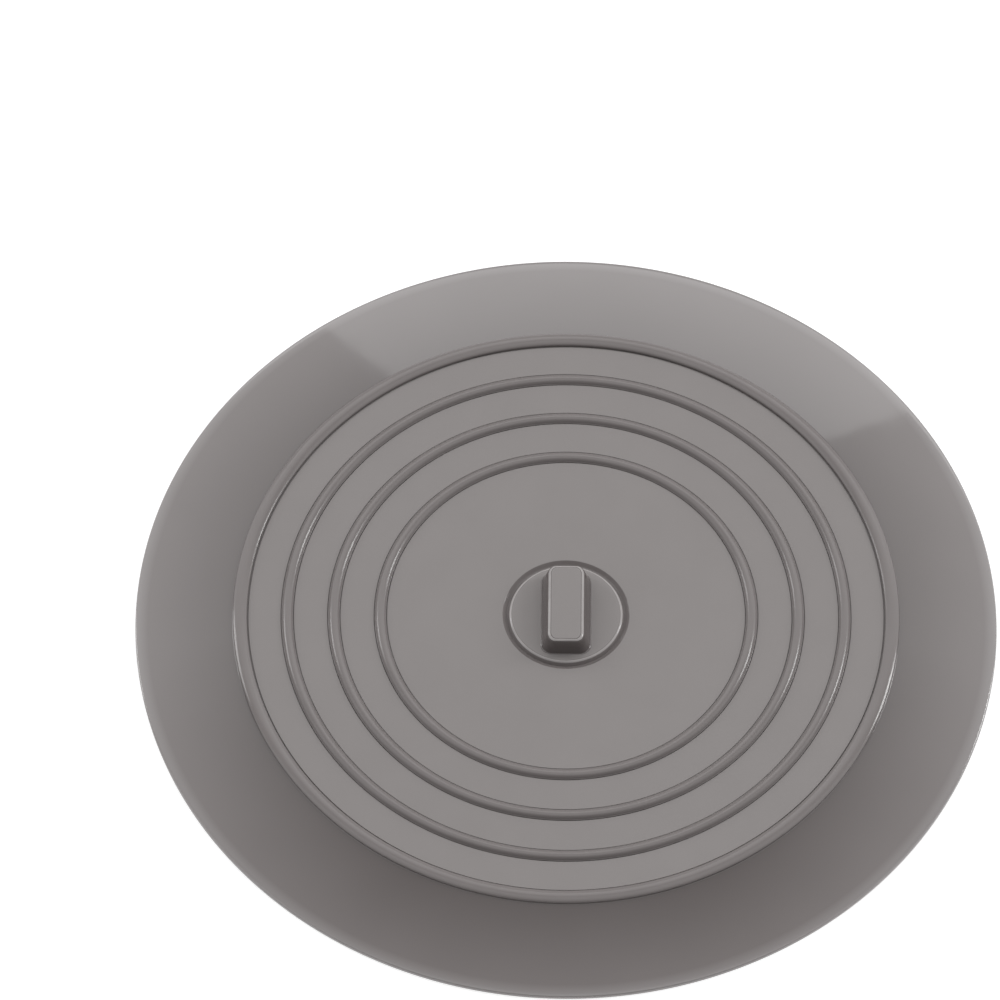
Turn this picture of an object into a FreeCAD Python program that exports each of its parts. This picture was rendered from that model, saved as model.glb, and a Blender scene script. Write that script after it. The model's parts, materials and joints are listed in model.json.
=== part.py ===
import FreeCAD, Part
import math
import os

# Concentric ribs on the plate and the larger bead along its rim
INNER_RIB_RADIUS = 32.3
RIB_PITCH = 8.1
RIB_WIDTH = 2.35
RIB_HEIGHT = 0.65
BEAD_WIDTH = 2.7
BEAD_HEIGHT = 0.75
ARCH_CHORDS = 8

# Sheet: flat plate, sloping flange and thin sealing lip
PLATE_THICKNESS = 1.8
UNDERSIDE_HOLLOW = 1.1
FLANGE_WIDTH = 13.05
LIP_WIDTH = 4.0
LIP_EDGE_THICKNESS = 0.7

# Pull tab, tapered towards its top, on a round boss that stands in a recess of the plate
TAB_WIDTH = 8.9
TAB_LENGTH = 16.6
TAB_HEIGHT = 3.65
TAB_SIDE_TAPER = 1.3
TAB_END_TAPER = 0.55
TAB_CORNER_RADIUS = 1.6
TAB_EDGE_RADIUS = 0.6
BOSS_MARGIN = 0.9
BOSS_SHOULDER = 0.4
BOSS_RISE = 0.2
RECESS_DEPTH = 0.7
RECESS_CLEARANCE = 0.85

# Lines where the sheet folds; all rings that cross a line are cut there
FOLD_INSET = 3.5
PEEL_CLEARANCE = 1.5
FOLD_KERF = 0.2
STRIP_MARGIN = 5.0

# Sizes that follow from the ones above
PLATE_TOP = UNDERSIDE_HOLLOW + PLATE_THICKNESS
MIDDLE_RIB_RADIUS = INNER_RIB_RADIUS + RIB_PITCH
OUTER_RIB_RADIUS = MIDDLE_RIB_RADIUS + RIB_PITCH
EDGE_BEAD_RADIUS = OUTER_RIB_RADIUS + RIB_PITCH
PLATE_RADIUS = EDGE_BEAD_RADIUS + BEAD_WIDTH / 2
LIP_INNER_RADIUS = PLATE_RADIUS + FLANGE_WIDTH
OUTER_RADIUS = LIP_INNER_RADIUS + LIP_WIDTH
TAB_CORNER_X = TAB_WIDTH / 2 - TAB_CORNER_RADIUS
TAB_CORNER_Y = TAB_LENGTH / 2 - TAB_CORNER_RADIUS
TAB_FOOT_RADIUS = math.hypot(TAB_CORNER_X, TAB_CORNER_Y) + TAB_CORNER_RADIUS
BOSS_TOP_RADIUS = TAB_FOOT_RADIUS + BOSS_MARGIN
BOSS_FOOT_RADIUS = BOSS_TOP_RADIUS + BOSS_SHOULDER
RECESS_RADIUS = BOSS_FOOT_RADIUS + RECESS_CLEARANCE
RECESS_FLOOR = PLATE_TOP - RECESS_DEPTH
BOSS_TOP = PLATE_TOP + BOSS_RISE
TAB_TOP = BOSS_TOP + TAB_HEIGHT
FOLD_Y = -(INNER_RIB_RADIUS - FOLD_INSET)
PEEL_Y = -(PLATE_RADIUS + PEEL_CLEARANCE)

ORIGIN = FreeCAD.Vector(0, 0, 0)
UP = FreeCAD.Vector(0, 0, 1)


def at(radius, height):
    """Point of the half section that is turned about Z."""
    return FreeCAD.Vector(radius, 0, height)


def turned(edges):
    """Solid of revolution of a closed half section."""
    face = Part.Face(Part.Wire(edges))
    return face.revolve(ORIGIN, UP, 360)


def polygon_edges(points):
    """Straight edges through the points, open at the end."""
    return [Part.makeLine(a, b) for a, b in zip(points[:-1], points[1:])]


def skirt_height(radius):
    """Height of the flange's straight top line at a radius."""
    run = OUTER_RADIUS - PLATE_RADIUS
    drop = PLATE_TOP - LIP_EDGE_THICKNESS
    return PLATE_TOP - drop * (radius - PLATE_RADIUS) / run


# Flat round plate over the shallow hollow of the underside, with a recess for the boss
def plate():
    base = FreeCAD.Vector(0, 0, UNDERSIDE_HOLLOW)
    disc = Part.makeCylinder(PLATE_RADIUS, PLATE_THICKNESS, base)
    floor = FreeCAD.Vector(0, 0, RECESS_FLOOR)
    return disc.cut(Part.makeCylinder(RECESS_RADIUS, RECESS_DEPTH, floor))


# Cone from the plate's rim down to the lip, thinning outwards
def flange():
    points = [
        at(PLATE_RADIUS, UNDERSIDE_HOLLOW),
        at(LIP_INNER_RADIUS, 0),
        at(LIP_INNER_RADIUS, skirt_height(LIP_INNER_RADIUS)),
        at(PLATE_RADIUS, PLATE_TOP),
        at(PLATE_RADIUS, UNDERSIDE_HOLLOW),
    ]
    return turned(polygon_edges(points))


# Thin ring that lies flat on the floor around the drain, with its outer edge broken
def sealing_lip():
    corner = LIP_EDGE_THICKNESS / 3
    points = [
        at(LIP_INNER_RADIUS, 0),
        at(OUTER_RADIUS - corner, 0),
        at(OUTER_RADIUS, corner),
        at(OUTER_RADIUS, LIP_EDGE_THICKNESS - corner),
        at(OUTER_RADIUS - corner, skirt_height(OUTER_RADIUS - corner)),
        at(LIP_INNER_RADIUS, skirt_height(LIP_INNER_RADIUS)),
        at(LIP_INNER_RADIUS, 0),
    ]
    return turned(polygon_edges(points))


# Half-round ring that stands on the plate, its arch made of equal chords
def rib(radius, width, height):
    half_width = width / 2
    arch_radius = (half_width ** 2 + height ** 2) / (2 * height)
    centre_height = PLATE_TOP + height - arch_radius
    half_angle = math.atan2(half_width, arch_radius - height)
    points = []
    for step in range(ARCH_CHORDS + 1):
        angle = half_angle * (1 - 2 * step / ARCH_CHORDS)
        across = radius - arch_radius * math.sin(angle)
        points.append(at(across, centre_height + arch_radius * math.cos(angle)))
    return turned(polygon_edges(points + points[:1]))


# Round boss with a rounded shoulder, wide enough for the whole foot of the tab
def centre_boss():
    low = at(BOSS_FOOT_RADIUS, RECESS_FLOOR)
    high = at(BOSS_TOP_RADIUS, BOSS_TOP)
    bend = math.sqrt(0.5)
    rise = BOSS_TOP - RECESS_FLOOR
    middle = at(BOSS_TOP_RADIUS + BOSS_SHOULDER * bend, RECESS_FLOOR + rise * bend)
    shoulder = Part.Arc(low, middle, high).toShape()
    straight = polygon_edges([high, at(0, BOSS_TOP), at(0, RECESS_FLOOR), low])
    return turned([shoulder] + straight)


def rounded_rectangle(width, length, corner, height):
    """Closed wire of a rectangle with round corners, centred on Z."""
    x = width / 2
    y = length / 2
    bend = corner * (1 - math.sqrt(0.5))
    edges = []
    for sx, sy in ((1, 1), (-1, 1), (-1, -1), (1, -1)):
        side = FreeCAD.Vector(sx * x, sy * (y - corner), height)
        middle = FreeCAD.Vector(sx * (x - bend), sy * (y - bend), height)
        end = FreeCAD.Vector(sx * (x - corner), sy * y, height)
        ordered = (side, middle, end) if sx == sy else (end, middle, side)
        edges.append(Part.Arc(*ordered).toShape())
    sides = []
    for now, then in zip(edges, edges[1:] + edges[:1]):
        sides.append(Part.makeLine(now.lastVertex().Point, then.firstVertex().Point))
    joined = [edge for pair in zip(edges, sides) for edge in pair]
    return Part.Wire(joined)


# Tapered block that is pinched to lift the stopper, with rounded top edges
def pull_tab():
    foot = rounded_rectangle(TAB_WIDTH, TAB_LENGTH, TAB_CORNER_RADIUS, BOSS_TOP)
    top_width = TAB_WIDTH - 2 * TAB_SIDE_TAPER
    top_length = TAB_LENGTH - 2 * TAB_END_TAPER
    crown = rounded_rectangle(top_width, top_length, TAB_CORNER_RADIUS, TAB_TOP)
    block = Part.makeLoft([foot, crown], True, True)
    top_edges = [edge for edge in block.Edges if edge.BoundBox.ZMin > TAB_TOP - 0.001]
    return block.makeFillet(TAB_EDGE_RADIUS, top_edges)


def strip(y_low, y_high):
    """Box over one strip of the stopper between two fold lines."""
    reach = OUTER_RADIUS + STRIP_MARGIN
    corner = FreeCAD.Vector(-reach, y_low, -STRIP_MARGIN)
    return Part.makeBox(2 * reach, y_high - y_low, TAB_TOP + 2 * STRIP_MARGIN, corner)


def save(name, shape):
    """Write a node, as its solid or as its loose solids together."""
    solids = shape.Solids
    node = solids[0] if len(solids) == 1 else Part.makeCompound(solids)
    node.exportStep(os.path.join("parts", name + ".step"))


def main():
    os.makedirs("parts", exist_ok=True)
    half_kerf = FOLD_KERF / 2
    beyond = OUTER_RADIUS + STRIP_MARGIN
    main_strip = strip(FOLD_Y + half_kerf, beyond)
    fold_strip = strip(PEEL_Y + half_kerf, FOLD_Y - half_kerf)
    peel_strip = strip(-beyond, PEEL_Y - half_kerf)
    flap = strip(-beyond, FOLD_Y - half_kerf)

    rings = {
        "plate": plate(),
        "edge_bead": rib(EDGE_BEAD_RADIUS, BEAD_WIDTH, BEAD_HEIGHT),
        "outer_rib": rib(OUTER_RIB_RADIUS, RIB_WIDTH, RIB_HEIGHT),
        "middle_rib": rib(MIDDLE_RIB_RADIUS, RIB_WIDTH, RIB_HEIGHT),
        "inner_rib": rib(INNER_RIB_RADIUS, RIB_WIDTH, RIB_HEIGHT),
    }
    for name, ring in rings.items():
        save(name, ring.common(main_strip))
        save("fold_" + name, ring.common(flap))

    skirts = {"flange": flange(), "sealing_lip": sealing_lip()}
    for name, skirt in skirts.items():
        save(name, skirt.common(main_strip))
        save("fold_" + name, skirt.common(fold_strip))
        save("peel_" + name, skirt.common(peel_strip))

    save("centre_boss", centre_boss())
    save("pull_tab", pull_tab())


main()
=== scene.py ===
"""Drain stopper of grey silicone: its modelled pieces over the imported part, and a plain studio."""

import json
import math
from collections import namedtuple

import bmesh
import bpy
from bpy.props import FloatProperty, FloatVectorProperty, IntProperty, PointerProperty
from bpy.types import Operator, Panel, PropertyGroup
from mathutils import Matrix, Quaternion, Vector


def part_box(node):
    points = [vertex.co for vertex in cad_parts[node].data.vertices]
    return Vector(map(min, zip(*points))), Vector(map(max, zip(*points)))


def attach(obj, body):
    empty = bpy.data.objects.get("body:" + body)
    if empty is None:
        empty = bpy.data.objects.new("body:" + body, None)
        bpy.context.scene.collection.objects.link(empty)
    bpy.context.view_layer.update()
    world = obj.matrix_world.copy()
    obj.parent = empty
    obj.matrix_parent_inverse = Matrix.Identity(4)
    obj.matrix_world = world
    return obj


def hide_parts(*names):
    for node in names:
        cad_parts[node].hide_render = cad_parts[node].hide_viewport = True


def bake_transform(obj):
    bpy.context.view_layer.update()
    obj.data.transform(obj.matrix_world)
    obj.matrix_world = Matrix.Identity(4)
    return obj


bl_info = {
    "name": "Drain Stopper",
    "version": (1, 0, 0),
    "blender": (4, 5, 0),
    "location": "View3D > Sidebar > Stopper",
    "description": "Models the silicone pieces of a drain stopper over its packed part",
    "category": "Add Mesh",
}

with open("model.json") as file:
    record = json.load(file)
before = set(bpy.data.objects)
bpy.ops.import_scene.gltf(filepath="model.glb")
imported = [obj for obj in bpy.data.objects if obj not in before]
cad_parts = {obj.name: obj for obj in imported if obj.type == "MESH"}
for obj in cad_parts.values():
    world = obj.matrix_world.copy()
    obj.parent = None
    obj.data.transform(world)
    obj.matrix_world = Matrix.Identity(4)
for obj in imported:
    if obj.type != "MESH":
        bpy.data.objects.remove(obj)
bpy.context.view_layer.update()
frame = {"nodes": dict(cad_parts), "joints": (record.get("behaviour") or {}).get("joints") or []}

MM = 0.001
SAME_PLACE = 0.001 * MM
SMOOTH_ANGLE = math.radians(35)
RIBS = ("inner_rib", "middle_rib", "outer_rib")
RINGS = RIBS + ("edge_bead",)
REST_PLACE = "rest_place"

# Upward share of a face's normal: flats, roundings between a flat and a wall, caps, the underside
FLAT_LOOK = 0.999
EDGE_LOOK = (0.72, 0.97)
CAP_LOOK = 0.9
UNDERSIDE_LOOK = -0.5
# Outward share of a normal from which the bead's shoulder is polished
SHOULDER_LOOK = 0.4

# Steps of the small roundings in the sections, and the border of the tab's top by its edge radius
GROOVE_STEPS = 5
LIP_STEPS = 6
TOE_STEPS = 3
TOP_BORDER = 0.2

# Finishes: used range of the noise, roughness and shade over that range, depth of the bumps
NOISE_RANGE = (0.3, 0.7)
MATTE_ROUGHNESS = (0.56, 0.68)
SATIN_ROUGHNESS = (0.17, 0.22)
STEP_ROUGHNESS = (0.08, 0.12)
GLOSS_ROUGHNESS = (0.03, 0.05)
EDGE_ROUGHNESS = (0.14, 0.20)
MATTE_SHADES = (0.985, 1.015)
SMOOTH_SHADES = (0.98, 1.02)
EDGE_SHADES = (0.94, 1.06)
GRAIN_DEPTH = 0.01 * MM
SMEAR_DEPTH = 0.004 * MM
RIPPLE_DEPTH = 0.02 * MM
# Wider patterns by the size of the finest one, and where across the flange it counts as thin
CLOUD_GRAINS = 40
SMEAR_GRAINS = 8
SMEAR_RIPPLES = 0.3
THIN_SHARE = 0.87

PHOTO_SIZE = 1000
SENSOR_WIDTH = 36.0
FLOOR_SIZE = 40
# Share of the sky's light from in front of the object (-1) over the zenith (0) to behind it (1)
SKY_BANDS = (
    (-1.0, 0.07), (-0.6, 0.14), (-0.3, 0.62), (0.0, 0.90), (0.1, 0.76), (0.2, 0.38),
    (0.29, 0.31), (0.5, 1.0), (0.74, 0.93), (0.82, 0.35), (1.0, 0.3),
)
# Share of the light at the horizon, and the heights between which the bands take over
HORIZON_SHARE = 0.28
HORIZON_HEIGHTS = (0.04, 0.22)

SoftPanel = namedtuple("SoftPanel", "name place size roll setting")
SOFT_PANELS = (
    SoftPanel(
        "softbox_behind", (0.08, 2.242, 1.9972), (3.0, 0.4), math.radians(-8.1), "softbox_light"
    ),
    SoftPanel("strip_right", (0.706, 0.23, 0.408), (0.18, 0.3), 0, "right_light"),
    SoftPanel("strip_left", (-0.698, 0.32, 0.366), (0.2, 0.34), 0, "left_light"),
)

Ring = namedtuple("Ring", "inner outer foot top")
JOINT_PLACES = {joint["name"]: Vector(joint["pos_m"]) for joint in frame["joints"]}


def ring_of(node):
    """Inner and outer radius, lowest and highest point of a round node."""
    points = [vertex.co for vertex in frame["nodes"][node].data.vertices]
    radii = [math.hypot(point.x, point.y) for point in points]
    low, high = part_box(node)
    return Ring(min(radii), max(radii), low.z, high.z)


# Sizes and colours that a user would change


class StopperSheetSettings(PropertyGroup):
    """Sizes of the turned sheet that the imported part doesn't give"""

    segments: IntProperty(
        name="Segments", description="Steps of a full turn", default=480, min=96
    )
    bend_step: FloatProperty(
        name="Bend Step", description="Longest edge across a fold",
        default=0.85 * MM, unit="LENGTH",
    )
    arch_steps: IntProperty(
        name="Arch Steps", description="Steps over the back of a rib", default=18, min=6
    )
    crease_width: FloatProperty(
        name="Crease Width", description="Width of the fine crease beside each rib",
        default=0.16 * MM, unit="LENGTH",
    )
    crease_depth: FloatProperty(
        name="Crease Depth", description="Depth of the fine crease beside each ring",
        default=0.25 * MM, unit="LENGTH",
    )
    rib_fillet: FloatProperty(
        name="Rib Fillet", description="Radius at the foot of the ribs",
        default=0.12 * MM, unit="LENGTH",
    )
    bead_crown: FloatProperty(
        name="Bead Crown", description="Radius over the back of the bead",
        default=2 * MM, unit="LENGTH",
    )
    bead_shoulder: FloatProperty(
        name="Bead Shoulder", description="Radius along both edges of the bead",
        default=0.35 * MM, unit="LENGTH",
    )
    bead_steepness: FloatProperty(
        name="Bead Steepness", description="Slope where the bead's edges end",
        default=math.radians(75), subtype="ANGLE",
    )
    bead_crease: FloatProperty(
        name="Bead Crease", description="Width of the crease inside the bead",
        default=0.28 * MM, unit="LENGTH",
    )
    bead_fillet: FloatProperty(
        name="Bead Fillet", description="Radius between the bead and the flange",
        default=0.2 * MM, unit="LENGTH",
    )
    lip_round: FloatProperty(
        name="Lip Round", description="Radius along the upper edge of the lip",
        default=0.3 * MM, unit="LENGTH",
    )
    recess_clearance: FloatProperty(
        name="Recess Clearance", description="Gap between the foot of the boss and its recess",
        default=0.85 * MM, unit="LENGTH",
    )
    recess_round: FloatProperty(
        name="Recess Round", description="Radius along the upper edge of the recess",
        default=0.12 * MM, unit="LENGTH",
    )
    groove_round: FloatProperty(
        name="Groove Round", description="Radius along the bottom of the groove round the boss",
        default=0.3 * MM, unit="LENGTH",
    )
    front_angle: FloatProperty(
        name="Front Angle", description="Sector of the flange that belongs to the peeling edge",
        default=math.radians(90), subtype="ANGLE",
    )
    fold_before: FloatProperty(
        name="Fold Before", description="Length that bends on the near side of the fold line",
        default=4 * MM, unit="LENGTH",
    )
    fold_after: FloatProperty(
        name="Fold After", description="Length that bends on the far side of the fold line",
        default=8 * MM, unit="LENGTH",
    )
    peel_before: FloatProperty(
        name="Peel Before", description="Length that bends inside the peel line",
        default=1.4 * MM, unit="LENGTH",
    )
    peel_after: FloatProperty(
        name="Peel After", description="Length that bends outside the peel line",
        default=6.5 * MM, unit="LENGTH",
    )


class StopperTabSettings(PropertyGroup):
    """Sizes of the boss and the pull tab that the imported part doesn't give"""

    boss_shoulder: FloatProperty(
        name="Boss Shoulder", description="Width of the sloping wall of the boss",
        default=0.4 * MM, unit="LENGTH",
    )
    boss_round: FloatProperty(
        name="Boss Round", description="Radius along the upper edge of the boss",
        default=0.4 * MM, unit="LENGTH",
    )
    side_taper: FloatProperty(
        name="Side Taper", description="How far each side leans in", default=1.3 * MM, unit="LENGTH"
    )
    end_taper: FloatProperty(
        name="End Taper", description="How far each end leans in", default=0.55 * MM, unit="LENGTH"
    )
    corner_round: FloatProperty(
        name="Corner Round", description="Radius of the upright corners",
        default=1.9 * MM, unit="LENGTH",
    )
    edge_round: FloatProperty(
        name="Edge Round", description="Radius along the edge of the top",
        default=0.6 * MM, unit="LENGTH",
    )
    foot_round: FloatProperty(
        name="Foot Round", description="Radius of the fillet at the foot",
        default=0.25 * MM, unit="LENGTH",
    )
    round_steps: IntProperty(
        name="Round Steps", description="Steps of each rounded edge", default=7, min=2
    )


class StopperFinishSettings(PropertyGroup):
    """Colours and gloss of the silicone"""

    matte_colour: FloatVectorProperty(
        name="Matte Colour", description="Flats with the fine mould grain",
        default=(0.244, 0.2265, 0.2225), subtype="COLOR", min=0, max=1,
    )
    satin_colour: FloatVectorProperty(
        name="Satin Colour", description="Ribs, bead and the steps round the boss",
        default=(0.187, 0.169, 0.166), subtype="COLOR", min=0, max=1,
    )
    thick_colour: FloatVectorProperty(
        name="Thick Colour", description="Flange where it is thick, beside the bead",
        default=(0.103, 0.0885, 0.0865), subtype="COLOR", min=0, max=1,
    )
    thin_colour: FloatVectorProperty(
        name="Thin Colour", description="Flange where it thins out into the lip",
        default=(0.170, 0.152, 0.149), subtype="COLOR", min=0, max=1,
    )
    rim_colour: FloatVectorProperty(
        name="Rim Colour", description="Outermost rim, where light comes through",
        default=(0.262, 0.244, 0.242), subtype="COLOR", min=0, max=1,
    )
    # Painted highlight: a lighter colour that the rounded edges of the boss and the tab take as a
    # highlight
    painted_highlight_colour: FloatVectorProperty(
        name="Highlight Colour", description="Rounded edges of the boss and the tab, with a painted highlight",
        default=(0.34, 0.32, 0.315), subtype="COLOR", min=0, max=1,
    )
    gloss_level: FloatProperty(
        name="Gloss Level", description="Strength of the reflections on the polished faces",
        default=0.9, min=0, max=1,
    )
    grain_size: FloatProperty(
        name="Grain Size", description="Size of the mould grain on the flats",
        default=0.22 * MM, unit="LENGTH",
    )
    ripple_size: FloatProperty(
        name="Ripple Size", description="Width of the faint ripples on the glossy faces",
        default=16 * MM, unit="LENGTH",
    )


class StopperStudioSettings(PropertyGroup):
    """Camera, lamps and floor"""

    view_elevation: FloatProperty(
        name="View Elevation", description="Height of the camera above the horizon",
        default=math.radians(58.63), subtype="ANGLE",
    )
    view_roll: FloatProperty(
        name="View Roll", description="Tilt of the camera about its own axis",
        default=math.radians(0.49), subtype="ANGLE",
    )
    view_distance: FloatProperty(
        name="View Distance", description="From the camera to the middle of the plate",
        default=1803 * MM, unit="LENGTH",
    )
    focal_pixels: FloatProperty(
        name="Focal Pixels", description="Focal length in pixels of the picture", default=10362
    )
    centre_pixel: FloatVectorProperty(
        name="Centre Pixel", description="Where the middle of the plate shows in the picture",
        default=(567.0, 613.8), size=2,
    )
    sky_light: FloatProperty(
        name="Sky Light", description="Brightness of the brightest band of the sky", default=1.45
    )
    softbox_light: FloatProperty(
        name="Softbox Light", description="Brightness of the softbox behind", default=1.0
    )
    right_light: FloatProperty(
        name="Right Light", description="Brightness of the strip at the right", default=10.0
    )
    left_light: FloatProperty(
        name="Left Light", description="Brightness of the strip at the left", default=4.5
    )
    floor_colour: FloatVectorProperty(
        name="Floor Colour", description="Pale floor", default=(0.62, 0.62, 0.62),
        subtype="COLOR", min=0, max=1,
    )
    floor_glow: FloatProperty(
        name="Floor Glow", description="Light that the floor gives off itself", default=0.6
    )


# Modelling by hand: a section line is drawn, rounded, divided and turned


def start_line(name, place):
    """Adds a plane at a point (radius, height) of the section and shrinks it to that one point."""
    bpy.ops.object.select_all(action="DESELECT")
    bpy.ops.mesh.primitive_plane_add(size=MM, calc_uvs=False, location=(place[0], 0, place[1]))
    bpy.ops.object.transform_apply()
    piece = bpy.context.object
    piece.name = name
    bpy.ops.object.mode_set(mode="EDIT")
    bpy.ops.mesh.select_mode(type="VERT")
    bpy.ops.mesh.select_all(action="SELECT")
    bpy.ops.mesh.merge(type="CENTER")
    return piece


def extend_line(radius, height):
    """Draws the line on from its last point by a step along the radius and the height."""
    bpy.ops.mesh.extrude_vertices_move(TRANSFORM_OT_translate={"value": (radius, 0, height)})


def draw_line(name, points):
    """Starts a piece as a line through the section's points (radius, height)."""
    piece = start_line(name, points[0])
    for here, there in zip(points[:-1], points[1:]):
        extend_line(there[0] - here[0], there[1] - here[1])
    return piece


def select_where(kind, wanted):
    """Selects the edited points, edges or faces that answer wanted, and returns how many do."""
    bpy.ops.mesh.select_mode(type=kind)
    bpy.ops.mesh.select_all(action="DESELECT")
    mesh = bmesh.from_edit_mesh(bpy.context.object.data)
    items = {"VERT": mesh.verts, "EDGE": mesh.edges, "FACE": mesh.faces}[kind]
    for item in items:
        item.select = wanted(item)
    found = sum(item.select for item in items)
    mesh.select_flush_mode()
    bmesh.update_edit_mesh(bpy.context.object.data)
    return found


def round_corner(place, radius, steps):
    """Rounds the corner of the line at a point (radius, height)."""
    corner = Vector((place[0], 0, place[1]))
    select_where("VERT", lambda point: (point.co - corner).length < SAME_PLACE)
    bpy.ops.mesh.bevel(offset=radius, segments=steps, affect="VERTICES")


def close_line():
    """Joins the two ends of the line."""
    select_where("VERT", lambda point: len(point.link_edges) == 1)
    bpy.ops.mesh.edge_face_add()


def divide_long_edges(longest, beyond=0.0):
    """Halves the line's edges that reach past a radius until none is longer than the limit."""

    def is_long(edge):
        outer = max(point.co.x for point in edge.verts)
        return edge.calc_length() > longest and outer > beyond

    while select_where("EDGE", is_long):
        bpy.ops.mesh.subdivide(number_cuts=1)
    bpy.ops.mesh.select_mode(type="VERT")


def turn_line(segments, sweep=math.tau):
    """Turns the line about the upright axis into a closed shell and leaves edit mode."""
    bpy.ops.mesh.select_all(action="SELECT")
    steps = round(segments * sweep / math.tau)
    bpy.ops.mesh.spin(steps=steps, angle=-sweep, center=(0, 0, 0), axis=(0, 0, 1))
    bpy.ops.mesh.select_all(action="SELECT")
    bpy.ops.mesh.remove_doubles(threshold=SAME_PLACE)
    bpy.ops.mesh.select_all(action="SELECT")
    bpy.ops.mesh.fill_holes(sides=0)
    bpy.ops.mesh.select_all(action="SELECT")
    bpy.ops.mesh.normals_make_consistent(inside=False)
    bpy.ops.object.mode_set(mode="OBJECT")


def finish_piece(piece, slot, *materials):
    """Smooths a modelled piece, keeps its rest place for patterns and gives it its materials."""
    bpy.ops.object.select_all(action="DESELECT")
    piece.select_set(True)
    bpy.context.view_layer.objects.active = piece
    bpy.ops.object.shade_smooth_by_angle(angle=SMOOTH_ANGLE)
    place = piece.data.attributes.new(REST_PLACE, "FLOAT_VECTOR", "POINT")
    place.data.foreach_set("vector", [c for vertex in piece.data.vertices for c in vertex.co])
    for material in materials:
        piece.data.materials.append(material)


def paint_faces(piece, index, wanted):
    """Gives the faces that answer wanted the material of that index."""
    for face in piece.data.polygons:
        if wanted(face):
            face.material_index = index


def is_flat(face):
    """Whether a face lies flat and looks up."""
    return face.normal.z > FLAT_LOOK


def is_edge(face):
    """Whether a face belongs to the rounding between a flat and a wall."""
    return EDGE_LOOK[0] < face.normal.z < EDGE_LOOK[1]


def bend_at_fold(piece):
    """Bakes the placement of a piece across the fold line between the base and the folding side into
    its mesh.
    """
    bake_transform(piece)


def bend_at_peel(piece):
    """Bakes the placement of a piece at the peel line between the folding side and the peeling edge
    into its mesh.
    """
    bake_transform(piece)


# Finishes of the silicone


def new_material(name):
    """A material with its node tree, its shader and the rest place of the surface."""
    material = bpy.data.materials.get(name)
    if material:
        return material, None, None, None
    material = bpy.data.materials.new(name)
    material.use_nodes = True
    nodes = material.node_tree.nodes
    shader = nodes["Principled BSDF"]
    place = nodes.new("ShaderNodeAttribute")
    place.attribute_name = REST_PLACE
    return material, material.node_tree, shader, place.outputs["Vector"]


def add_noise(tree, place, size, detail=2.0):
    """Noise with features of a given size."""
    noise = tree.nodes.new("ShaderNodeTexNoise")
    noise.inputs["Scale"].default_value = 1 / size
    noise.inputs["Detail"].default_value = detail
    tree.links.new(place, noise.inputs["Vector"])
    return noise.outputs["Fac"]


def map_range(tree, value, source, target, smooth=False):
    """Maps a value from one range to another."""
    node = tree.nodes.new("ShaderNodeMapRange")
    node.interpolation_type = "SMOOTHSTEP" if smooth else "LINEAR"
    node.inputs["From Min"].default_value, node.inputs["From Max"].default_value = source
    node.inputs["To Min"].default_value, node.inputs["To Max"].default_value = target
    tree.links.new(value, node.inputs["Value"])
    return node.outputs["Result"]


def add_bump(tree, shader, height, depth):
    """Raises the surface by a height pattern of a given depth."""
    bump = tree.nodes.new("ShaderNodeBump")
    bump.inputs["Strength"].default_value = 1.0
    bump.inputs["Distance"].default_value = depth
    tree.links.new(height, bump.inputs["Height"])
    tree.links.new(bump.outputs["Normal"], shader.inputs["Normal"])


def roughen(tree, shader, pattern, roughness):
    """Lets the roughness follow a noise pattern between two values."""
    rough = map_range(tree, pattern, NOISE_RANGE, roughness)
    tree.links.new(rough, shader.inputs["Roughness"])


def tint(tree, shader, colour, pattern, shades):
    """Colours the shader with a flat or linked colour, shaded a little by a noise pattern."""
    shade = map_range(tree, pattern, NOISE_RANGE, shades)
    mix = tree.nodes.new("ShaderNodeMix")
    mix.data_type = "RGBA"
    mix.blend_type = "MULTIPLY"
    mix.inputs["Factor"].default_value = 1.0
    if isinstance(colour, bpy.types.NodeSocket):
        tree.links.new(colour, mix.inputs["A"])
    else:
        mix.inputs["A"].default_value = (*colour, 1)
    tree.links.new(shade, mix.inputs["B"])
    tree.links.new(mix.outputs["Result"], shader.inputs["Base Color"])


def matte_silicone(finish):
    """Flat faces with the fine grain of a spark-eroded mould."""
    material, tree, shader, place = new_material("grained_flats")
    if tree:
        grain = add_noise(tree, place, finish.grain_size, detail=3.0)
        cloud = add_noise(tree, place, CLOUD_GRAINS * finish.grain_size)
        tint(tree, shader, finish.matte_colour, cloud, MATTE_SHADES)
        roughen(tree, shader, grain, MATTE_ROUGHNESS)
        add_bump(tree, shader, grain, GRAIN_DEPTH)
    return material


def satin_silicone(finish, name="smooth_ribs", roughness=SATIN_ROUGHNESS):
    """Faces from smooth mould steel with a trace of grain, such as the ribs and the bead."""
    material, tree, shader, place = new_material(name)
    if tree:
        cloud = add_noise(tree, place, CLOUD_GRAINS * finish.grain_size)
        tint(tree, shader, finish.satin_colour, cloud, SMOOTH_SHADES)
        smear = add_noise(tree, place, SMEAR_GRAINS * finish.grain_size)
        roughen(tree, shader, smear, roughness)
        add_bump(tree, shader, smear, SMEAR_DEPTH)
    return material


def polished_satin(finish):
    """The same, smoother: the groove, the wall of the boss and the outer shoulder of the bead."""
    return satin_silicone(finish, "polished_steps", STEP_ROUGHNESS)


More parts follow.
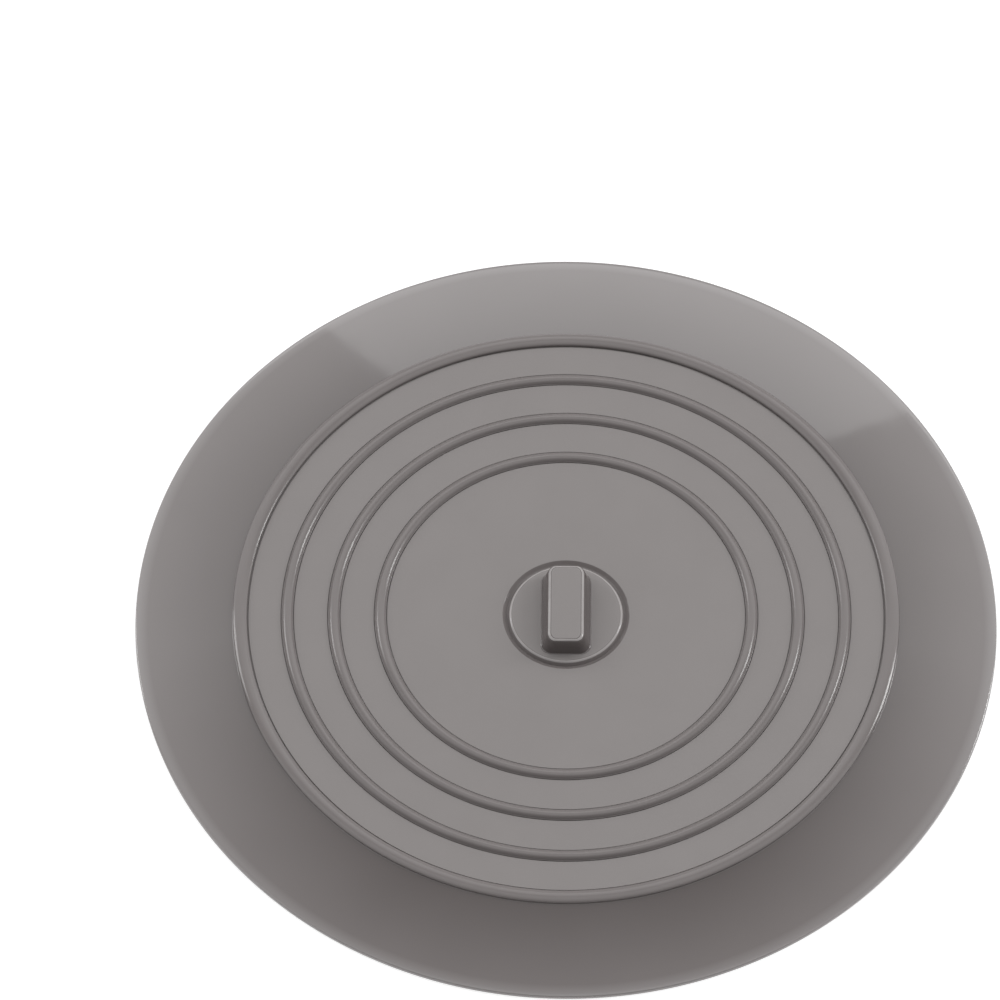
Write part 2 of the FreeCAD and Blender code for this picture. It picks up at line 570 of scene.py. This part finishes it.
def gloss_silicone(finish):
    """Polished faces, lighter towards the rim, where light comes through the thin silicone."""
    material, tree, shader, place = new_material("polished_flange")
    if tree:
        bead, lip = ring_of("edge_bead"), ring_of("sealing_lip")
        flat = tree.nodes.new("ShaderNodeVectorMath")
        flat.operation = "MULTIPLY"
        flat.inputs[1].default_value = (1, 1, 0)
        tree.links.new(place, flat.inputs[0])
        radius = tree.nodes.new("ShaderNodeVectorMath")
        radius.operation = "LENGTH"
        tree.links.new(flat.outputs["Vector"], radius.inputs[0])
        share = map_range(tree, radius.outputs["Value"], (bead.outer, lip.outer), (0, 1))
        # Painted light: lighter from the bead out to the rim, for light that shines through the
        # thinning silicone
        ramp = tree.nodes.new("ShaderNodeValToRGB")
        stops = ramp.color_ramp.elements
        stops[0].position, stops[0].color = 0.0, (*finish.thick_colour, 1)
        stops[1].position, stops[1].color = 1.0, (*finish.rim_colour, 1)
        stops.new(THIN_SHARE).color = (*finish.thin_colour, 1)
        tree.links.new(share, ramp.inputs["Fac"])
        ripple = add_noise(tree, place, finish.ripple_size, detail=1.0)
        tint(tree, shader, ramp.outputs["Color"], ripple, SMOOTH_SHADES)
        smear = add_noise(tree, place, SMEAR_RIPPLES * finish.ripple_size)
        roughen(tree, shader, smear, GLOSS_ROUGHNESS)
        add_bump(tree, shader, ripple, RIPPLE_DEPTH)
        shader.inputs["Specular IOR Level"].default_value = finish.gloss_level
    return material


def painted_highlight_silicone(finish):
    """Rounded edges, smooth and a little lighter: a painted highlight along them."""
    material, tree, shader, place = new_material("painted_highlight_edges")
    if tree:
        # Painted highlight: the edges take the lighter edge colour, as a light line along them
        highlight_noise = add_noise(tree, place, SMEAR_GRAINS * finish.grain_size)
        tint(tree, shader, finish.painted_highlight_colour, highlight_noise, EDGE_SHADES)
        roughen(tree, shader, highlight_noise, EDGE_ROUGHNESS)
    return material


# Pieces


class STOPPER_OT_plate(Operator):
    """Model the plate with its recess and the fine creases beside its rings"""

    bl_idname = "stopper.plate"
    bl_label = "Plate"

    def execute(self, context):
        sheet, finish = context.scene.stopper_sheet, context.scene.stopper_finish
        plate, boss, bead = ring_of("plate"), ring_of("centre_boss"), ring_of("edge_bead")
        recess = boss.outer + sheet.recess_clearance
        bed = plate.top - sheet.crease_depth
        groove = boss.outer + sheet.groove_round / 2
        outline = [(0, boss.foot), (groove, boss.foot), (recess, plate.top)]
        for ring in map(ring_of, RIBS):
            outline += [(ring.inner, plate.top), (ring.inner + sheet.crease_width, bed)]
            outline += [(ring.outer - sheet.crease_width, bed), (ring.outer, plate.top)]
        outline += [(bead.inner, plate.top), (bead.inner + sheet.crease_width / 2, bed)]
        outline += [(plate.outer, bed), (plate.outer, plate.foot), (0, plate.foot)]
        piece = draw_line("plate_disc", outline)
        round_corner((groove, boss.foot), sheet.groove_round, GROOVE_STEPS)
        round_corner((recess, plate.top), sheet.recess_round, GROOVE_STEPS)
        fold_start = -JOINT_PLACES["fold"].y - sheet.fold_before
        divide_long_edges(sheet.bend_step, beyond=fold_start)
        turn_line(sheet.segments)
        finish_piece(
            piece, "matte_silicone",
            matte_silicone(finish), gloss_silicone(finish), polished_satin(finish),
        )
        paint_faces(piece, 1, lambda face: face.normal.z < UNDERSIDE_LOOK)
        paint_faces(
            piece, 2, lambda face: face.center.to_2d().length < recess and face.normal.z > 0
        )
        bend_at_fold(piece)
        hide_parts("plate", "fold_plate")
        return {"FINISHED"}


class STOPPER_OT_rings(Operator):
    """Model the half-round ribs and the bead along the rim of the plate"""

    bl_idname = "stopper.rings"
    bl_label = "Ribs and Bead"

    def sweep_arc(self, centre, angle, steps):
        """Draws the line on along an arc about a point of the section, turning outwards."""
        bpy.ops.mesh.spin(
            steps=steps, angle=-angle, center=(centre[0], 0, centre[1]), axis=(0, 1, 0)
        )

    def fillet_centre(self, centre, radius, fillet):
        """Point from which a fillet touches both the arch of the bead and the flange."""
        flange, lip = ring_of("flange"), ring_of("sealing_lip")
        slope = (flange.top - lip.top) / (lip.inner - flange.inner)
        lift = flange.top + slope * flange.inner + fillet * math.hypot(1, slope) - centre[1]
        half = (centre[0] + lift * slope) / (1 + slope**2)
        rest = (centre[0]**2 + lift**2 - (radius + fillet)**2) / (1 + slope**2)
        across = half + math.sqrt(half**2 - rest)
        return (across, centre[1] + lift - slope * across), math.atan(slope)

    def draw_rib(self, node, sheet):
        """Draws a half-round rib that springs from the creases with a fillet on each side."""
        ring, fillet, steps = ring_of(node), sheet.rib_fillet, sheet.arch_steps // 3
        inner, outer = ring.inner + sheet.crease_width, ring.outer - sheet.crease_width
        half_width, rise = (outer - inner) / 2, ring.top - ring.foot
        steepest = 2 * math.atan(rise / half_width)
        radius = half_width / math.sin(steepest) - fillet
        piece = start_line(node + "_ring", (inner, ring.foot - sheet.crease_depth))
        extend_line(0, sheet.crease_depth)
        self.sweep_arc((inner, ring.foot + fillet), -steepest, steps)
        self.sweep_arc((inner + half_width, ring.top - radius), 2 * steepest, sheet.arch_steps)
        self.sweep_arc((outer, ring.foot + fillet), -steepest, steps)
        return piece

    def draw_bead(self, node, sheet):
        """Draws the bead: a flat crown between two tight shoulders, filleted onto the flange."""
        ring, shoulder, steep = ring_of(node), sheet.bead_shoulder, sheet.bead_steepness
        inner = ring.inner + sheet.bead_crease
        half_width = (ring.outer - inner) / 2
        reach = sheet.bead_crown - shoulder
        turn = math.asin((half_width - shoulder * math.sin(steep)) / reach)
        crown = (inner + half_width, ring.top - sheet.bead_crown)
        height = crown[1] + reach * math.cos(turn)
        spread = reach * math.sin(turn)
        left, right = (crown[0] - spread, height), (crown[0] + spread, height)
        bend, lean = self.fillet_centre(right, shoulder, sheet.bead_fillet)
        end = math.atan2(bend[0] - right[0], bend[1] - right[1])
        low, steps = ring.foot - sheet.crease_depth, sheet.arch_steps // 3
        piece = start_line(node + "_ring", (inner, low))
        extend_line(0, height + shoulder * math.cos(steep) - low)
        self.sweep_arc(left, steep - turn, steps)
        self.sweep_arc(crown, 2 * turn, sheet.arch_steps)
        self.sweep_arc(right, end - turn, steps)
        self.sweep_arc(bend, lean - end, steps)
        return piece

    def polish_bead(self, piece, finish):
        """Polishes the outer shoulder of the bead and finishes its fillet like the flange."""
        piece.data.materials.append(polished_satin(finish))
        piece.data.materials.append(gloss_silicone(finish))
        flange = ring_of("flange")
        paint_faces(
            piece, 1, lambda face: face.normal.dot(face.center.normalized()) > SHOULDER_LOOK
        )
        paint_faces(piece, 2, lambda face: face.center.to_2d().length > flange.inner)

    def execute(self, context):
        sheet, finish = context.scene.stopper_sheet, context.scene.stopper_finish
        for node in RINGS:
            is_bead = node == "edge_bead"
            piece = self.draw_bead(node, sheet) if is_bead else self.draw_rib(node, sheet)
            extend_line(0, -sheet.crease_depth)
            close_line()
            turn_line(sheet.segments)
            finish_piece(piece, "satin_silicone", satin_silicone(finish))
            if is_bead:
                self.polish_bead(piece, finish)
            bend_at_fold(piece)
            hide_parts(node, "fold_" + node)
        return {"FINISHED"}


class STOPPER_OT_flange(Operator):
    """Model the flange with its sealing lip, in a main sector and the front sector that peels"""

    bl_idname = "stopper.flange"
    bl_label = "Flange and Lip"

    def draw_section(self, name, sheet):
        """Draws the section from the bead down to the rim and back along the underside."""
        flange, lip = ring_of("flange"), ring_of("sealing_lip")
        slope = (flange.top - lip.top) / (lip.inner - flange.inner)
        rim_top = lip.top - slope * (lip.outer - lip.inner)
        rim, toe = (lip.outer, rim_top), (lip.outer, lip.foot)
        piece = draw_line(name, [
            (flange.inner, flange.top), rim, toe,
            (lip.inner, lip.foot), (flange.inner, ring_of("plate").foot),
        ])
        round_corner(rim, sheet.lip_round, LIP_STEPS)
        round_corner(toe, sheet.lip_round / 3, TOE_STEPS)
        close_line()
        divide_long_edges(sheet.bend_step)
        return piece

    def make_sector(self, name, sheet, start, sweep):
        """One sector of the flange, from an azimuth on."""
        piece = self.draw_section(name, sheet)
        turn_line(sheet.segments, sweep)
        piece.rotation_euler.z = start
        bpy.ops.object.transform_apply()
        return piece

    def execute(self, context):
        sheet, finish = context.scene.stopper_sheet, context.scene.stopper_finish
        front_end = (sheet.front_angle - math.pi) / 2
        front_start = front_end - sheet.front_angle
        main = self.make_sector("flange_main", sheet, front_end, math.tau - sheet.front_angle)
        finish_piece(main, "gloss_silicone", gloss_silicone(finish))
        bend_at_fold(main)
        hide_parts("flange", "sealing_lip", "fold_flange", "fold_sealing_lip")
        front = self.make_sector("flange_front", sheet, front_start, sheet.front_angle)
        finish_piece(front, "gloss_silicone", gloss_silicone(finish))
        bend_at_peel(front)
        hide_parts("peel_flange", "peel_sealing_lip")
        return {"FINISHED"}


class STOPPER_OT_boss(Operator):
    """Model the round boss in its recess"""

    bl_idname = "stopper.boss"
    bl_label = "Centre Boss"

    def execute(self, context):
        sheet, tab = context.scene.stopper_sheet, context.scene.stopper_tab
        finish = context.scene.stopper_finish
        boss = ring_of("centre_boss")
        edge = (boss.outer - tab.boss_shoulder, boss.top)
        foot = (boss.outer, boss.foot)
        piece = draw_line("boss_disc", [(0, boss.top), edge, foot, (0, boss.foot)])
        round_corner(edge, tab.boss_round, tab.round_steps)
        divide_long_edges(sheet.bend_step)
        turn_line(sheet.segments // 2)
        finish_piece(
            piece, "satin_silicone",
            polished_satin(finish), matte_silicone(finish), painted_highlight_silicone(finish),
        )
        paint_faces(piece, 1, is_flat)
        # Painted highlight: the boss's rounded upper edge gets the lighter highlight colour
        paint_faces(piece, 2, is_edge)
        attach(piece, "base")
        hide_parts("centre_boss")
        return {"FINISHED"}


class STOPPER_OT_tab(Operator):
    """Model the tapered pull tab with rounded edges and a filleted foot"""

    bl_idname = "stopper.tab"
    bl_label = "Pull Tab"

    def flare_foot(self, tab, width, length):
        """Extrudes the foot down and out along a quarter circle."""
        select_where("FACE", lambda face: face.normal.z < -CAP_LOOK)
        spread, drop = 0.0, 0.0
        for step in range(1, tab.round_steps + 1):
            angle = step / tab.round_steps * math.pi / 2
            wider = tab.foot_round * (1 - math.cos(angle))
            lower = tab.foot_round * math.sin(angle)
            bpy.ops.mesh.extrude_region_move(
                TRANSFORM_OT_translate={"value": (0, 0, drop - lower)}
            )
            grown = ((width + 2 * wider) / (width + 2 * spread),
                     (length + 2 * wider) / (length + 2 * spread), 1)
            bpy.ops.transform.resize(value=grown, center_override=(0, 0, 0))
            spread, drop = wider, lower

    def execute(self, context):
        tab, finish = context.scene.stopper_tab, context.scene.stopper_finish
        low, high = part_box("pull_tab")
        width = high.x - low.x - 2 * tab.foot_round
        length = high.y - low.y - 2 * tab.foot_round
        foot = low.z + tab.foot_round
        bpy.ops.object.select_all(action="DESELECT")
        bpy.ops.mesh.primitive_cube_add(
            size=1, calc_uvs=False, location=(0, 0, (foot + high.z) / 2),
            scale=(width, length, high.z - foot),
        )
        bpy.ops.object.transform_apply()
        piece = context.object
        piece.name = "pull_tab_grip"
        bpy.ops.object.mode_set(mode="EDIT")
        select_where(
            "EDGE", lambda edge: abs(edge.verts[0].co.z - edge.verts[1].co.z) > tab.foot_round
        )
        bpy.ops.mesh.bevel(offset=tab.corner_round, segments=2 * tab.round_steps, affect="EDGES")
        select_where("FACE", lambda face: face.normal.z > CAP_LOOK)
        lean = ((high.x - low.x - 2 * tab.side_taper) / width,
                (high.y - low.y - 2 * tab.end_taper) / length, 1)
        bpy.ops.transform.resize(value=lean, center_override=(0, 0, 0))
        bpy.ops.mesh.region_to_loop()
        bpy.ops.mesh.bevel(offset=tab.edge_round, segments=tab.round_steps, affect="EDGES")
        select_where("FACE", is_flat)
        bpy.ops.mesh.inset(thickness=TOP_BORDER * tab.edge_round)
        self.flare_foot(tab, width, length)
        bpy.ops.mesh.select_all(action="SELECT")
        bpy.ops.mesh.normals_make_consistent(inside=False)
        bpy.ops.object.mode_set(mode="OBJECT")
        finish_piece(
            piece, "satin_silicone",
            gloss_silicone(finish), matte_silicone(finish), painted_highlight_silicone(finish),
        )
        paint_faces(piece, 1, is_flat)
        middle = (low.z + high.z) / 2
        # Painted highlight: the tab's upper rounded edges get the lighter highlight colour
        paint_faces(piece, 2, lambda face: is_edge(face) and face.center.z > middle)
        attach(piece, "base")
        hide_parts("pull_tab")
        return {"FINISHED"}


# Studio


class STOPPER_OT_stage(Operator):
    """Set up the floor, the lamps, the sky and the camera"""

    bl_idname = "stopper.stage"
    bl_label = "Stage"

    def make_floor(self, studio):
        """A wide pale floor that keeps the shadow and lets the underside show from below."""
        bpy.ops.object.select_all(action="DESELECT")
        bpy.ops.mesh.primitive_plane_add(size=FLOOR_SIZE)
        floor = bpy.context.object
        floor.name = "floor"
        material = bpy.data.materials.new("pale_floor")
        material.use_nodes = True
        tree = material.node_tree
        tree.nodes.clear()
        diffuse = tree.nodes.new("ShaderNodeBsdfDiffuse")
        diffuse.inputs["Color"].default_value = (*studio.floor_colour, 1)
        glow = tree.nodes.new("ShaderNodeEmission")
        glow.inputs["Strength"].default_value = studio.floor_glow
        lit = tree.nodes.new("ShaderNodeAddShader")
        tree.links.new(diffuse.outputs["BSDF"], lit.inputs[0])
        tree.links.new(glow.outputs["Emission"], lit.inputs[1])
        side = tree.nodes.new("ShaderNodeNewGeometry")
        clear = tree.nodes.new("ShaderNodeBsdfTransparent")
        both = tree.nodes.new("ShaderNodeMixShader")
        tree.links.new(side.outputs["Backfacing"], both.inputs["Fac"])
        tree.links.new(lit.outputs["Shader"], both.inputs[1])
        tree.links.new(clear.outputs["BSDF"], both.inputs[2])
        output = tree.nodes.new("ShaderNodeOutputMaterial")
        tree.links.new(both.outputs["Shader"], output.inputs["Surface"])
        # Not a lamp of its own: its two huge faces so close below would show as a line
        material.cycles.emission_sampling = "NONE"
        floor.data.materials.append(material)

    def make_sky(self, studio):
        """Soft light in bands, alike below the floor: bright overhead and behind, dim in front."""
        world = bpy.data.worlds.new("studio_sky")
        bpy.context.scene.world = world
        world.use_nodes = True
        tree = world.node_tree
        background = tree.nodes["Background"]
        place = tree.nodes.new("ShaderNodeTexCoord")
        parts = tree.nodes.new("ShaderNodeSeparateXYZ")
        tree.links.new(place.outputs["Generated"], parts.inputs["Vector"])
        ramp = tree.nodes.new("ShaderNodeValToRGB")
        stops = ramp.color_ramp.elements
        for stop, (depth, share) in zip((stops[0], stops[1]), (SKY_BANDS[0], SKY_BANDS[-1])):
            stop.position, stop.color = (depth + 1) / 2, (share, share, share, 1)
        for depth, share in SKY_BANDS[1:-1]:
            stops.new((depth + 1) / 2).color = (share, share, share, 1)
        depth = map_range(tree, parts.outputs["Y"], (-1, 1), (0, 1))
        tree.links.new(depth, ramp.inputs["Fac"])
        height = tree.nodes.new("ShaderNodeMath")
        height.operation = "ABSOLUTE"
        tree.links.new(parts.outputs["Z"], height.inputs[0])
        low = map_range(tree, height.outputs["Value"], HORIZON_HEIGHTS, (1, 0), smooth=True)
        mix = tree.nodes.new("ShaderNodeMix")
        tree.links.new(low, mix.inputs["Factor"])
        tree.links.new(ramp.outputs["Color"], mix.inputs["A"])
        mix.inputs["B"].default_value = HORIZON_SHARE
        light = map_range(tree, mix.outputs["Result"], (0, 1), (0, studio.sky_light))
        tree.links.new(light, background.inputs["Strength"])
        background.inputs["Color"].default_value = (1, 1, 1, 1)

    def add_panel(self, panel, brightness):
        """A soft panel that faces the object; its power follows from its brightness."""
        bpy.ops.object.light_add(type="AREA", location=panel.place)
        lamp = bpy.context.object
        lamp.name = panel.name
        lamp.visible_camera = False
        lamp.rotation_mode = "QUATERNION"
        facing = (-Vector(panel.place)).to_track_quat("-Z", "Y")
        lamp.rotation_quaternion = facing @ Quaternion((0, 0, 1), panel.roll)
        lamp.data.shape = "RECTANGLE"
        lamp.data.size, lamp.data.size_y = panel.size
        lamp.data.energy = brightness * math.pi * panel.size[0] * panel.size[1]

    def place_camera(self, studio):
        """The photograph's long view, aimed so that the plate shows at its place."""
        bpy.ops.object.camera_add()
        camera = bpy.context.object
        bpy.context.scene.camera = camera
        camera.data.sensor_width = SENSOR_WIDTH
        camera.data.lens = SENSOR_WIDTH * studio.focal_pixels / PHOTO_SIZE
        elevation = studio.view_elevation
        back = Vector((0, -math.cos(elevation), math.sin(elevation)))
        right = Vector((1, 0, 0))
        level = Matrix((right, back.cross(right), back)).transposed().to_quaternion()
        across = studio.centre_pixel[0] - PHOTO_SIZE / 2
        down = studio.centre_pixel[1] - PHOTO_SIZE / 2
        sight = Vector((across, -down, -studio.focal_pixels))
        aim = Vector((0, 0, -1)).rotation_difference(sight)
        camera.rotation_mode = "QUATERNION"
        camera.rotation_quaternion = (
            level @ aim.inverted() @ Quaternion((0, 0, 1), studio.view_roll)
        )
        camera.location = Vector((0, 0, ring_of("plate").top)) + back * studio.view_distance

    def execute(self, context):
        studio = context.scene.stopper_studio
        self.make_floor(studio)
        self.make_sky(studio)
        for panel in SOFT_PANELS:
            self.add_panel(panel, getattr(studio, panel.setting))
        self.place_camera(studio)
        context.scene.view_settings.view_transform = "Standard"
        return {"FINISHED"}


OPERATORS = (
    STOPPER_OT_plate,
    STOPPER_OT_rings,
    STOPPER_OT_flange,
    STOPPER_OT_boss,
    STOPPER_OT_tab,
    STOPPER_OT_stage,
)


class STOPPER_PT_pieces(Panel):
    """Lists the pieces in the order in which they are made"""

    bl_label = "Drain Stopper"
    bl_idname = "STOPPER_PT_pieces"
    bl_space_type = "VIEW_3D"
    bl_region_type = "UI"
    bl_category = "Stopper"

    def draw(self, context):
        for operator in OPERATORS:
            self.layout.operator(operator.bl_idname)


SETTINGS = {
    "stopper_sheet": StopperSheetSettings,
    "stopper_tab": StopperTabSettings,
    "stopper_finish": StopperFinishSettings,
    "stopper_studio": StopperStudioSettings,
}
CLASSES = (*SETTINGS.values(), *OPERATORS, STOPPER_PT_pieces)


def register():
    """Registers the classes and hangs the settings on the scene."""
    for cls in CLASSES:
        bpy.utils.register_class(cls)
    for name, settings in SETTINGS.items():
        setattr(bpy.types.Scene, name, PointerProperty(type=settings))


def unregister():
    """Takes the settings and the classes away again."""
    for name in SETTINGS:
        delattr(bpy.types.Scene, name)
    for cls in reversed(CLASSES):
        bpy.utils.unregister_class(cls)


def main():
    """Makes all pieces and the stage."""
    register()
    bpy.ops.stopper.plate()
    bpy.ops.stopper.rings()
    bpy.ops.stopper.flange()
    bpy.ops.stopper.boss()
    bpy.ops.stopper.tab()
    bpy.ops.stopper.stage()
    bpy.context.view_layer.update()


if __name__ == "__main__":
    main()
